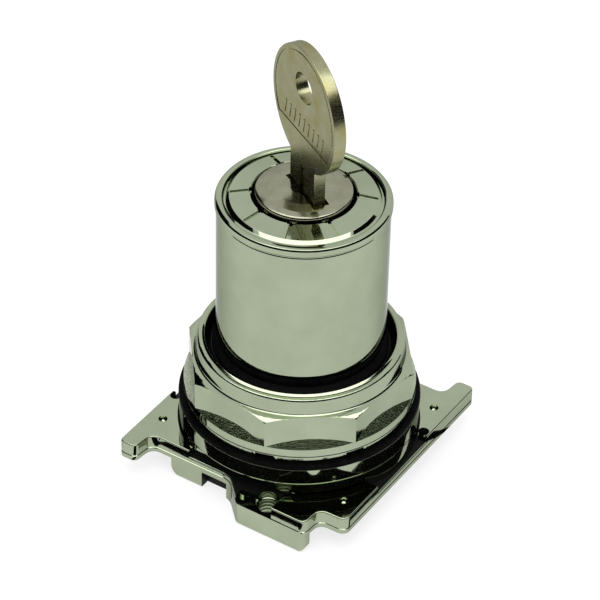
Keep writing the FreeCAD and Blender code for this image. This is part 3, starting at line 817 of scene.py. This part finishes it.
def seals(rubber):
    """Gasket, lip seal and cap wiper."""
    gasket = turned("panel_gasket_ring", [
        (15.2, GASKET_TOP), (20.4, GASKET_TOP), (20.55, GASKET_TOP - 0.2),
        (20.6, BOSS_TOP + 0.15), (20.52, BOSS_TOP + 0.01), (15.2, BOSS_TOP + 0.01)], soften=0.05)
    lip = turned("neck_lip_seal", [
        (NECK_R + 0.03, BARREL_BOTTOM - 0.05), (14.0, BARREL_BOTTOM - 0.05),
        (14.0, BARREL_BOTTOM - 1.0), (13.7, THREAD_TOP + 1.3), (14.9, THREAD_TOP + 0.6),
        (14.9, THREAD_TOP), (NECK_R + 0.03, THREAD_TOP)], soften=0.12)
    wiper = turned("cap_wiper", [
        (RING_BORE - 0.08, 51.1), (RING_BORE - 0.08, NECK_TOP + 0.05), (7.2, NECK_TOP + 0.05),
        (7.2, 51.1)], soften=0.1)
    for piece, node in ((gasket, "panel_gasket"), (lip, "neck_seal"), (wiper, "face_seal")):
        even_normals(piece)
        finish_piece(piece, "base", rubber, "black_rubber", node)


def dress_inner_nodes(rubber):
    """Finishes of the inner pieces that keep their CAD shape."""
    brass = machined("lock_brass", (0.60, 0.47, 0.24), 0.25)
    zinc = machined("zinc_steel", (0.58, 0.59, 0.58), 0.3)
    steel = machined("spring_steel", (0.35, 0.35, 0.36), 0.3)
    nylon = moulded_nylon()
    groups = {
        brass: ("lock_housing", "lock_plug", "tumbler_wafers"),
        zinc: ("cam_retainer", "retainer_screws", "drive_shaft", "index_wheel"),
        steel: ("lock_set_screw", "index_balls", "index_springs", "cam_clip"),
        nylon: ("index_cage", "shaft_bush", "operating_cam", "pusher_left", "pusher_right"),
        rubber: ("shaft_o_ring",),
    }
    for material, names in groups.items():
        for name in names:
            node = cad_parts[name]
            node.data.materials.clear()
            node.data.materials.append(material)


# ------------------------------------------------------------------ studio


def camera():
    """Long-lens camera above and to the right of the key's near edge."""
    bearing = math.radians(LENS_BEARING)
    roll = math.radians(LENS_ROLL)
    back = direction(LENS_BEARING, LENS_ELEVATION)
    right = Vector((math.cos(bearing), math.sin(bearing), 0))
    up = back.cross(right)
    right, up = (right * math.cos(roll) + up * math.sin(roll),
                 up * math.cos(roll) - right * math.sin(roll))
    target = (Vector((0, 0, AIM_HEIGHT)) + right * AIM_RIGHT + up * AIM_UP) * MM
    data = bpy.data.cameras.new("camera")
    data.lens = 180
    data.sensor_width = 36
    data.clip_start = 0.01
    data.clip_end = 20
    holder = bpy.data.objects.new("camera", data)
    bpy.context.scene.collection.objects.link(holder)
    axes = Matrix((right, up, back)).transposed().to_4x4()
    holder.matrix_world = Matrix.Translation(target + back * LENS_DISTANCE * MM) @ axes
    bpy.context.scene.camera = holder


def direction(azimuth, elevation):
    """Unit vector towards a bearing, where bearing 0 is the -Y side."""
    a = math.radians(azimuth)
    e = math.radians(elevation)
    return Vector((math.sin(a) * math.cos(e), -math.cos(a) * math.cos(e), math.sin(e)))


def area_light(name, azimuth, elevation, distance, size, power):
    """Square soft light aimed at the barrel."""
    data = bpy.data.lights.new(name, "AREA")
    data.energy = power
    data.size = size
    lamp = bpy.data.objects.new(name, data)
    bpy.context.scene.collection.objects.link(lamp)
    aim = Vector((0, 0, 0.03))
    place = aim + direction(azimuth, elevation) * distance
    lamp.location = place
    lamp.rotation_euler = (aim - place).to_track_quat("-Z", "Y").to_euler()


def card_paint(name, glow=0.0):
    """Matt black card, or a white glow."""
    mat, tree, main = shader(name, (0.004, 0.004, 0.004), 0.0, 1.0)
    main.inputs["Specular IOR Level"].default_value = 0.0
    main.inputs["Emission Color"].default_value = (1, 1, 1, 1)
    main.inputs["Emission Strength"].default_value = glow
    return mat


def card(name, first, last, low, high, glow=0.0):
    """Curved card round the table, seen only in reflections: black, or lit when it glows."""
    distance = 0.9
    shape = bmesh.new()
    columns = []
    steps = 24
    rows = 6
    for i in range(steps + 1):
        azimuth = first + (last - first) * i / steps
        heights = [low + (high - low) * j / rows for j in range(rows + 1)]
        columns.append([shape.verts.new(direction(azimuth, e) * distance) for e in heights])
    for here, there in zip(columns, columns[1:]):
        for j in range(rows):
            shape.faces.new((here[j], there[j], there[j + 1], here[j + 1]))
    mesh = bpy.data.meshes.new(name)
    shape.to_mesh(mesh)
    shape.free()
    only_in_reflections(new_object(name, mesh), card_paint(name, glow))


def only_in_reflections(piece, mat):
    """Make a card that lights nothing and shows only in shiny surfaces."""
    piece.data.materials.append(mat)
    piece.visible_camera = False
    piece.visible_diffuse = False
    piece.visible_shadow = False


def floor_shade_patches():
    """Painted shade: two dark patches on the paper in front of the base and to its right, seen only
    in reflections.
    """
    paint = card_paint("floor_shade_patch")
    front = arc_on_floor(-60, 3) + [(13.5, -28.1), (-0.9, -28.1), (-2.4, -26.0), (-4.5, -24.2),
                                    (-19.2, -24.1)]
    right = arc_on_floor(33, 74) + [(24.7, 13.5), (24.7, -17.0)]
    for name, points in (("front_shade_patch", front), ("right_shade_patch", right)):
        mesh = bpy.data.meshes.new(name)
        corners = [(x * MM, y * MM, -0.1 * MM) for x, y in points]
        mesh.from_pydata(corners, [], [tuple(range(len(corners)))])
        only_in_reflections(new_object(name, mesh), paint)


def arc_on_floor(first, last):
    """Curve on the paper that the top edge of the boss mirrors, by angle from the lens."""
    points = []
    steps = 24
    reach = 14.8
    for i in range(steps + 1):
        turn_by = first + (last - first) * i / steps
        edge = direction(LENS_BEARING + turn_by, 0) * BOSS_R
        spot = edge + direction(LENS_BEARING + 2 * turn_by, 0) * reach
        points.append((spot.x, spot.y))
    return points


def studio():
    """Pale floor, soft light all round, dark and lit cards for the chrome, and painted shade
    patches on the floor.
    """
    mat, tree, main = shader("floor_paper", (0.3, 0.3, 0.3), 0.0, 0.9)
    grain = noise(tree, coordinates(tree), 0.02, 2.0)
    tree.links.new(ramp(tree, grain, [(0.3, 0.28), (0.7, 0.31)]), main.inputs["Base Color"])
    main.inputs["Specular IOR Level"].default_value = 0.0
    main.inputs["Emission Color"].default_value = (1, 1, 1, 1)
    main.inputs["Emission Strength"].default_value = 0.75
    mesh = bpy.data.meshes.new("floor")
    mesh.from_pydata([(-3, -3, 0), (3, -3, 0), (3, 3, 0), (-3, 3, 0)], [], [(0, 1, 2, 3)])
    floor = new_object("floor", mesh)
    floor.data.materials.append(mat)
    floor.location.z = -0.2 * MM
    world = bpy.data.worlds.new("studio")
    world.use_nodes = True
    world.node_tree.nodes["Background"].inputs["Color"].default_value = (1, 1, 1, 1)
    world.node_tree.nodes["Background"].inputs["Strength"].default_value = 0.95
    bpy.context.scene.world = world
    area_light("softbox_top", azimuth=20, elevation=72, distance=0.9, size=0.6, power=2.5)
    card("room_card", first=-114, last=155, low=-3, high=48)
    card("lit_card_left", first=-82, last=16, low=52, high=82, glow=3.0)
    card("lit_card_right", first=38, last=138, low=50, high=82, glow=3.0)
    floor_shade_patches()
    bpy.context.scene.view_settings.view_transform = "Standard"


# ------------------------------------------------------------------ build

chrome_metal = plated_chrome()
ledge_metal = cast_ledge()
rubber_black = black_rubber()
recess_shade_metal = painted_recess_shade()
casting_plate(chrome_metal, recess_shade_metal)
casting_boss(chrome_metal, recess_shade_metal)
lug_threads(chrome_metal)
retaining_nut(chrome_metal, ledge_metal, recess_shade_metal)
barrel(chrome_metal)
index_ring(chrome_metal)
face_cap(satin_cap())
key(key_metal())
seals(rubber_black)
dress_inner_nodes(rubber_black)
camera()
studio()
